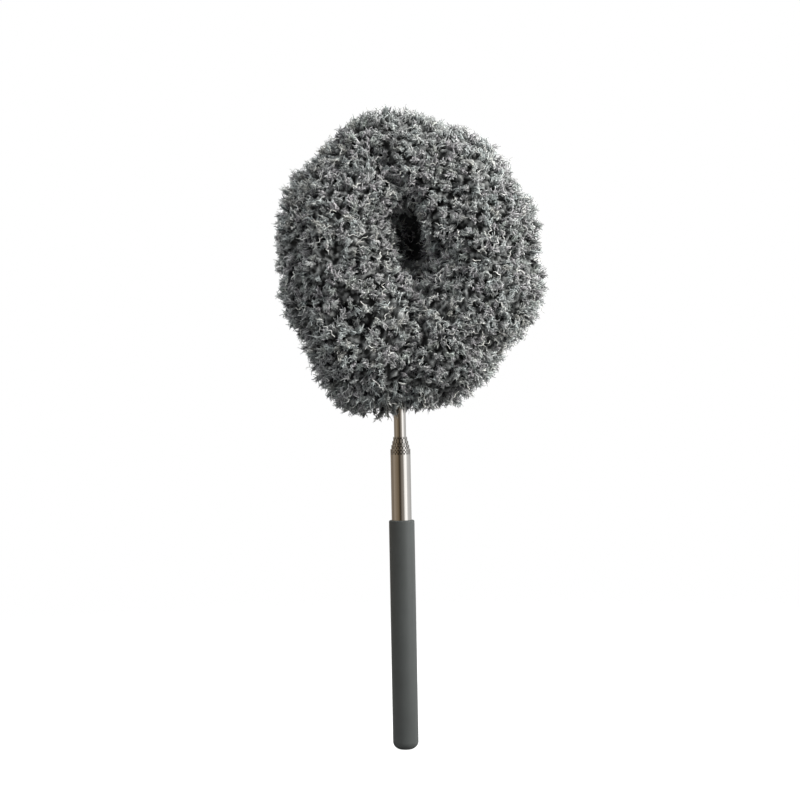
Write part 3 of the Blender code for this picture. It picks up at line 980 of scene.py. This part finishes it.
def tuft_template(index, settings, dice):
    """One yarn end, rooted at the origin and pointing up Z: a lumpy body with frayed strands."""
    builder = template_builder()
    along = builder.verts.layers.float["along"]
    shade = builder.verts.layers.float["fibre"]
    depth = settings.depth
    spread = settings.tuft_radius * dice.uniform(0.8, 1.2)
    seed_place = Vector((index * 7.3, 1.7, 0))

    body = bmesh.ops.create_uvsphere(builder, u_segments=5, v_segments=4, radius=1.0)
    for vert in body["verts"]:
        share = 0.5 + 0.5 * vert.co.z
        waist = 0.35 + 0.3 * share
        lump = 1 + 0.45 * noise.noise(vert.co * 1.9 + seed_place)
        vert.co.x *= spread * waist * lump
        vert.co.y *= spread * waist * lump
        vert.co.z = depth * (0.84 * share + 0.09 * noise.noise(vert.co * 900 + seed_place))
        # painted shade: the body darkens towards its root
        vert[along] = 0.7 * share
        vert[shade] = 0.35 + 0.5 * noise.noise(vert.co * 700 + seed_place)

    for strand in range(settings.strands):
        share = math.sqrt((strand + 0.6) / settings.strands)
        angle = strand * 2.4 + dice.uniform(-0.4, 0.4)
        out = Vector((math.cos(angle), math.sin(angle), 0))
        base = out * (0.5 * spread * share) + UP * depth * 0.25
        fray = spread * share * dice.uniform(0.3, 0.8)
        length = depth * (0.80 - 0.24 * share * share) * dice.uniform(0.86, 1.08)
        aim = (UP * depth * 0.75 + out * fray).normalized()
        path = crimped_path(
            base, aim, length, dice.uniform(0.5, 1.2) * MM, dice.uniform(4.0, 6.5) * MM, 5, dice
        )
        make_strand(
            builder, path, settings.strand_radius * dice.uniform(0.7, 1.3), 0.35, dice.random()
        )
    bend = Vector((1, 0, 0)) * dice.uniform(3.0, 8.0) * MM
    for vert in builder.verts:
        share = max(0.0, vert.co.z / depth)
        vert.co += bend * share * share
    return finish_template(f"tuft_{index}", builder)


def stray_template(index, dice):
    """One loose, strongly crimped strand."""
    builder = template_builder()
    path = crimped_path(
        Vector((0, 0, 0)),
        UP,
        dice.uniform(8, 16) * MM,
        dice.uniform(0.7, 1.4) * MM,
        dice.uniform(5.5, 8.0) * MM,
        12,
        dice,
    )
    make_strand(builder, path, dice.uniform(0.3, 0.46) * MM, 0.85, 0.9)
    return finish_template(f"stray_{index}", builder)


def aimed(place, direction, spin, size):
    """A matrix that stands a template at a place, along a direction, turned about it and sized."""
    turn = direction.to_track_quat("Z", "Y").to_matrix().to_4x4()
    return Matrix.Translation(place) @ turn @ Matrix.Rotation(spin, 4, "Z") @ Matrix.Scale(size, 4)


def tuft_spots(ring, settings, dice):
    """Evenly spread (around, across) pairs: tries at random and keeps those that are clear."""
    gap = settings.spacing
    taken = {}
    neighbours = [(i, j, k) for i in (-1, 0, 1) for j in (-1, 0, 1) for k in (-1, 0, 1)]
    for _ in range(settings.tries):
        around, across = dice.uniform(0, TURN), dice.uniform(0, TURN)
        if math.cos(across) < AT_HOLE:
            continue
        place = ring.point(around, across)
        cell = tuple(int(value // gap) for value in place)
        near = (
            other
            for shift in neighbours
            for other in taken.get(tuple(map(sum, zip(cell, shift))), ())
        )
        if any((other - place).length < gap for other in near):
            continue
        taken.setdefault(cell, []).append(place)
        yield around, across


def stamp(builder, template, matrix, tint):
    """Adds a placed copy of a template, with its tint, to the bmesh."""
    template.attributes["tint"].data.foreach_set("value", [tint] * len(template.vertices))
    template.transform(matrix)
    builder.from_mesh(template)
    template.transform(matrix.inverted())


def clears_pole(place, aim, length):
    """Whether a yarn end's straight line keeps clear of the pole below the cover's mouth."""
    for share in (0.0, 0.35, 0.7, 1.0):
        spot = place + aim * (length * share)
        if spot.z < MOUTH_TOP and math.hypot(spot.x, spot.y) < POLE_CLEARANCE:
            return False
    return True


def core_builder(ring, sink, around_steps=400, across_steps=180):
    """The dense mass that the yarn ends stand on: a spun ring, shaped to the pile and its mouth."""
    builder = bmesh.new()
    layers = builder.verts.layers.float
    along, tint, shade = layers.new("along"), layers.new("tint"), layers.new("fibre")
    ring_radius = 3.0
    circle = bmesh.ops.create_circle(
        builder,
        segments=across_steps,
        radius=1.0,
        matrix=Matrix.Translation((ring_radius, 0, 0)) @ Matrix.Rotation(math.pi / 2, 4, "X"),
    )
    edges = edges_of(circle["verts"])
    bmesh.ops.spin(
        builder,
        geom=circle["verts"] + edges,
        axis=UP,
        cent=(0, 0, 0),
        angle=TURN,
        steps=around_steps,
        use_merge=True,
    )
    band_low, band_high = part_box("closure_band")
    ceiling = band_high.z + 1.5 * MM
    for vert in builder.verts:
        away = math.hypot(vert.co.x, vert.co.y)
        around = math.atan2(vert.co.y, vert.co.x)
        across = math.atan2(vert.co.z, away - ring_radius)
        closing = min(1.0, max(0.0, (-math.cos(across) - 0.85) / 0.14))
        place = ring.base_point(around, across)
        lump = (noise.noise(place * 230) + 0.5 * noise.noise(place * 480)) * (1 - 0.8 * closing)
        lift = ring.rise(place, across) - sink * (1 - closing) + 3.2 * MM * lump
        place += ring.base_normal(around, across) * lift
        off_axis = math.hypot(place.x, place.y)
        lift = ceiling - max(0.0, off_axis - band_high.x - 1.5 * MM) * 5
        if place.z < ceiling:
            place.z = max(place.z, lift)
        vert.co = place
        # painted shade: the core is darkest in its dips and towards the closed hole
        vert[along] = max(0.0, 0.3 + 0.6 * lump) * (1 - 0.3 * closing)
        vert[tint] = vert[shade] = 0.5
    bmesh.ops.recalc_face_normals(builder, faces=builder.faces)
    return builder


class DUSTER_OT_pile(bpy.types.Operator):
    """Makes the yarn pile: a dense core and thousands of frayed yarn ends"""

    bl_idname = "duster.pile"
    bl_label = "Make yarn pile"

    def execute(self, context):
        settings = context.scene.duster_pile
        dice = random.Random(settings.seed)
        noise.seed_set(settings.seed)  # noise_vector starts from the clock without it
        ring = PileRing()
        material = pile_material(settings.tip_colour, settings.painted_root_shade)
        kinds = [tuft_template(index, settings, dice) for index in range(settings.kinds)]
        strays = [stray_template(index, dice) for index in range(STRAY_KINDS)]
        builders = []
        for _ in range(SECTORS):
            builder = template_builder()
            builder.verts.layers.float.new("tint")
            builders.append(builder)

        for around, across in tuft_spots(ring, settings, dice):
            out = ring.normal(around, across)
            place = ring.point(around, across, settings.depth * 0.9 + dice.gauss(0, 1.2) * MM)
            flow = noise.noise_vector(place * 45)
            aim = (out + flow * 0.65 + Vector([dice.gauss(0, 0.4) for _ in range(3)])).normalized()
            if aim.dot(out) < 0.35:
                aim = (aim + out * 0.5).normalized()
            size = dice.uniform(0.88, 1.12)
            if not clears_pole(place, aim, settings.depth * size):
                continue
            tint = 0.5 + 0.45 * noise.noise(place * 30) + dice.gauss(0, 0.14)
            sector = int(around / TURN * SECTORS) % SECTORS
            matrix = aimed(place, aim, dice.uniform(0, TURN), size)
            stamp(builders[sector], dice.choice(kinds), matrix, min(1.0, max(0.0, tint)))
        for _ in range(settings.strays):
            around, across = dice.uniform(0, TURN), dice.gauss(0, 1.5)
            out = ring.normal(around, across)
            place = ring.point(around, across, 2.5 * MM)
            wander = Vector([dice.gauss(0, 1) for _ in range(3)]).normalized()
            aim = (wander - out * wander.dot(out)).normalized() + out * dice.uniform(0.1, 0.7)
            aim.normalize()
            if not clears_pole(place, aim, STRAY_REACH):
                continue
            sector = int(around / TURN * SECTORS) % SECTORS
            matrix = aimed(place, aim, dice.uniform(0, TURN), 1.0)
            stamp(builders[sector], dice.choice(strays), matrix, dice.uniform(0.85, 1.0))
        for number, builder in enumerate(builders, start=1):
            add_piece(
                f"pile_tufts_{number}", builder, material, "head", ["cover_pile"], 0
            )
        core = core_builder(ring, settings.depth * 0.6)
        add_piece("pile_core", core, material, "head", ["cover_pile"], 0)
        for template in kinds + strays:
            bpy.data.meshes.remove(template)
        return {"FINISHED"}


# ---------------------------------------------------------------- stage


def add_light(name, size, power, colour, place, target):
    light = bpy.data.lights.new(name, "AREA")
    light.shape = "RECTANGLE"
    light.size, light.size_y = size
    light.energy = power
    light.color = colour
    holder = bpy.data.objects.new(name, light)
    holder.location = place
    holder.rotation_euler = (Vector(target) - Vector(place)).to_track_quat("-Z", "Y").to_euler()
    holder.visible_glossy = False
    bpy.context.scene.collection.objects.link(holder)
    return holder


FLOOR_RADIUS = 6.0
FLOOR_GAP = 0.5 * MM
LIGHT_TARGET = (0.0, 0.0, 0.36)
CAMERA_SIDE, CAMERA_HEIGHT = 0.5 * MM, 314 * MM
# (bearing in degrees, from the camera's side to the right, brightness, warmth) of the room
SURROUNDINGS = (
    (-180, 0.35, 0.5),
    (-125, 0.30, 0.8),
    (-102, 0.24, 0.9),
    (-84, 0.44, 0.8),
    (-69, 0.35, 0.9),
    (-43, 0.26, 1.1),
    (-30, 0.22, 1.2),
    (-19, 0.08, 1.2),
    (-7, 0.06, 1.1),
    (4, 0.22, 0.6),
    (15, 0.33, 0.5),
    (31, 0.38, 0.3),
    (41, 1.45, 0.1),
    (67, 1.7, 0.0),
    (77, 0.85, 0.0),
    (112, 0.68, 0.0),
    (140, 0.62, 0.0),
    (180, 0.40, 0.3),
)


def make_world():
    """White for the camera, an uneven room for the steel to mirror and a weak fill for the rest."""
    world = bpy.data.worlds.new("studio")
    world.use_nodes = True
    tree = world.node_tree
    links = tree.links
    direction = add_node(tree, "TexCoord")
    split = add_node(tree, "SeparateXYZ")
    links.new(direction.outputs["Generated"], split.inputs["Vector"])
    flip = add_node(tree, "Math", {1: -1.0}, operation="MULTIPLY")
    links.new(split.outputs["Y"], flip.inputs[0])
    bearing = add_node(tree, "Math", operation="ARCTAN2")
    links.new(split.outputs["X"], bearing.inputs[0])
    links.new(flip.outputs["Value"], bearing.inputs[1])
    share = add_node(tree, "MapRange", {"From Min": -math.pi, "From Max": math.pi})
    links.new(bearing.outputs["Value"], share.inputs["Value"])
    room = add_node(tree, "ValToRGB")
    steps = []
    for degrees, brightness, warmth in SURROUNDINGS:
        tone = (1.0, 1.0 - 0.20 * warmth, 1.0 - 0.42 * warmth)
        steps.append((0.5 + degrees / 360, [brightness * channel for channel in tone]))
    fill_ramp(room.color_ramp, steps)
    links.new(share.outputs["Result"], room.inputs["Fac"])
    shine = tree.nodes["Background"]
    links.new(room.outputs["Color"], shine.inputs["Color"])
    shine.inputs["Strength"].default_value = 0.9
    fill = add_node(tree, "Background", {"Color": (0.95, 0.98, 1.0, 1), "Strength": 0.13})
    white = add_node(tree, "Background", {"Color": (1, 1, 1, 1), "Strength": 1.0})
    seen = add_node(tree, "LightPath")
    soft = add_node(tree, "MixShader")
    links.new(seen.outputs["Is Glossy Ray"], soft.inputs["Fac"])
    links.new(fill.outputs["Background"], soft.inputs[1])
    links.new(shine.outputs["Background"], soft.inputs[2])
    choice = add_node(tree, "MixShader")
    links.new(seen.outputs["Is Camera Ray"], choice.inputs["Fac"])
    links.new(soft.outputs["Shader"], choice.inputs[1])
    links.new(white.outputs["Background"], choice.inputs[2])
    links.new(choice.outputs["Shader"], tree.nodes["World Output"].inputs["Surface"])
    bpy.context.scene.world = world


def floor_material():
    """Pale, lit for the camera alone, and fading out towards the floor's rim."""
    material, shader, tree = new_material("pale_floor")
    links = tree.links
    shader.inputs["Base Color"].default_value = (0.2, 0.2, 0.2, 1)
    shader.inputs["Roughness"].default_value = 0.9
    shader.inputs["Emission Color"].default_value = (1, 1, 1, 1)
    seen = add_node(tree, "LightPath")
    glow = add_node(tree, "Math", {1: 0.96}, operation="MULTIPLY")
    links.new(seen.outputs["Is Camera Ray"], glow.inputs[0])
    links.new(glow.outputs["Value"], shader.inputs["Emission Strength"])
    place = add_node(tree, "TexCoord")
    far = add_node(tree, "VectorMath", operation="LENGTH")
    links.new(place.outputs["Object"], far.inputs[0])
    fade = add_node(
        tree, "MapRange", {"From Min": 0.2, "From Max": 1.3}, interpolation_type="SMOOTHSTEP"
    )
    links.new(far.outputs["Value"], fade.inputs["Value"])
    clear = add_node(tree, "BsdfTransparent")
    mix = add_node(tree, "MixShader")
    links.new(fade.outputs["Result"], mix.inputs["Fac"])
    links.new(shader.outputs["BSDF"], mix.inputs[1])
    links.new(clear.outputs["BSDF"], mix.inputs[2])
    links.new(mix.outputs["Shader"], tree.nodes["Material Output"].inputs["Surface"])
    return material


def make_floor():
    """A pale round floor, just below the grip's end."""
    builder = bmesh.new()
    bmesh.ops.create_circle(builder, cap_ends=True, segments=ROUND_SIDES, radius=FLOOR_RADIUS)
    mesh = bpy.data.meshes.new("floor")
    builder.to_mesh(mesh)
    builder.free()
    mesh.materials.append(floor_material())
    floor = bpy.data.objects.new("floor", mesh)
    floor.location.z = -FLOOR_GAP
    bpy.context.scene.collection.objects.link(floor)


class DUSTER_OT_stage(bpy.types.Operator):
    """Sets up the pale floor, soft studio light and the camera"""

    bl_idname = "duster.stage"
    bl_label = "Set up stage"

    def execute(self, context):
        settings = context.scene.duster_stage
        make_world()
        make_floor()
        add_light("key", (0.75, 1.4), 80, (1.0, 0.99, 0.97), (1.5, -0.75, 1.15), LIGHT_TARGET)
        add_light("side", (0.8, 1.4), 30, (0.98, 0.99, 1.0), (1.5, 0.6, 0.95), LIGHT_TARGET)
        add_light("rear", (1.2, 1.4), 22, (1.0, 1.0, 1.0), (-0.7, 1.6, 1.1), LIGHT_TARGET)
        add_light("top", (1.2, 1.2), 13, (1.0, 1.0, 1.0), (-0.2, -0.6, 1.9), LIGHT_TARGET)
        add_light("left", (1.0, 1.2), 18, (0.97, 0.99, 1.0), (-1.1, -1.2, 1.35), LIGHT_TARGET)

        camera = bpy.data.cameras.new("camera")
        camera.sensor_width = 36.0
        camera.lens = camera.sensor_width * settings.distance / settings.view_width
        holder = bpy.data.objects.new("camera", camera)
        holder.location = (CAMERA_SIDE, -settings.distance, CAMERA_HEIGHT)
        holder.rotation_euler = (math.pi / 2, settings.lean, 0)
        context.scene.collection.objects.link(holder)
        context.scene.camera = holder
        context.scene.view_settings.view_transform = "Standard"
        return {"FINISHED"}


# ---------------------------------------------------------------- panel and registration


class DUSTER_PT_panel(bpy.types.Panel):
    """Lists the duster's operators"""

    bl_idname = "DUSTER_PT_panel"
    bl_label = "Telescopic duster"
    bl_space_type = "VIEW_3D"
    bl_region_type = "UI"
    bl_category = "Duster"

    def draw(self, context):
        for operator in OPERATORS:
            self.layout.operator(operator.bl_idname)


OPERATORS = (
    DUSTER_OT_pole,
    DUSTER_OT_grip,
    DUSTER_OT_fittings,
    DUSTER_OT_lining,
    DUSTER_OT_pile,
    DUSTER_OT_stage,
)
SETTINGS = {
    "duster_pole": PoleSettings,
    "duster_grip": GripSettings,
    "duster_pile": PileSettings,
    "duster_stage": StageSettings,
}


def register():
    for group in SETTINGS.values():
        bpy.utils.register_class(group)
    for operator in (*OPERATORS, DUSTER_PT_panel):
        bpy.utils.register_class(operator)
    for name, group in SETTINGS.items():
        setattr(bpy.types.Scene, name, PointerProperty(type=group))


def unregister():
    for name in SETTINGS:
        delattr(bpy.types.Scene, name)
    for item in (DUSTER_PT_panel, *reversed(OPERATORS), *reversed(list(SETTINGS.values()))):
        bpy.utils.unregister_class(item)


def main():
    register()
    bpy.ops.duster.stage()
    bpy.ops.duster.pole()
    bpy.ops.duster.grip()
    bpy.ops.duster.lining()
    bpy.ops.duster.fittings()
    bpy.ops.duster.pile()


if __name__ == "__main__":
    main()
